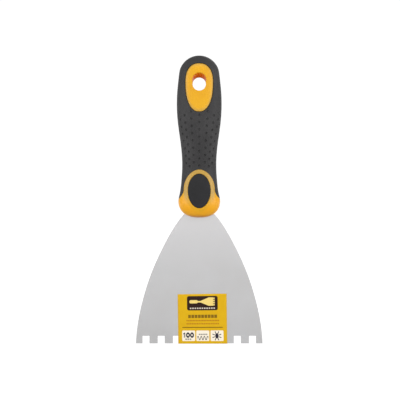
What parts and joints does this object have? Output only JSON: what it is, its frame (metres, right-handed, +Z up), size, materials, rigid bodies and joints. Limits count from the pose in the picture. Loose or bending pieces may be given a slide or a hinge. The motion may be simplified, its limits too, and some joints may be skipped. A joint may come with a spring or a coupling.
{
  "type": "notched trowel",
  "caption": "Hand trowel with a square-notched stainless steel blade and a soft-grip plastic handle, for combing adhesive or mortar.",
  "frame": {"origin": "centre of the hang hole, in the middle of the handle's thickness", "axes": "+Z up along the handle away from the working edge, -Y out of the front face, +X to the right as seen from the front"},
  "size_m": [0.1, 0.024, 0.2274],
  "materials": {
    "stainless_steel": "fine satin, cold rolled",
    "yellow_plastic": "smooth semi-gloss moulding",
    "black_rubber": "matt soft-touch with small dimples",
    "label_film": "printed semi-gloss film"
  },
  "bodies": {
    "root": {"blade": "stainless_steel", "handle_core": "yellow_plastic", "grip": "black_rubber", "thumb_pad_front": "black_rubber", "thumb_pad_rear": "black_rubber", "label": "label_film"}
  },
  "joints": []
}
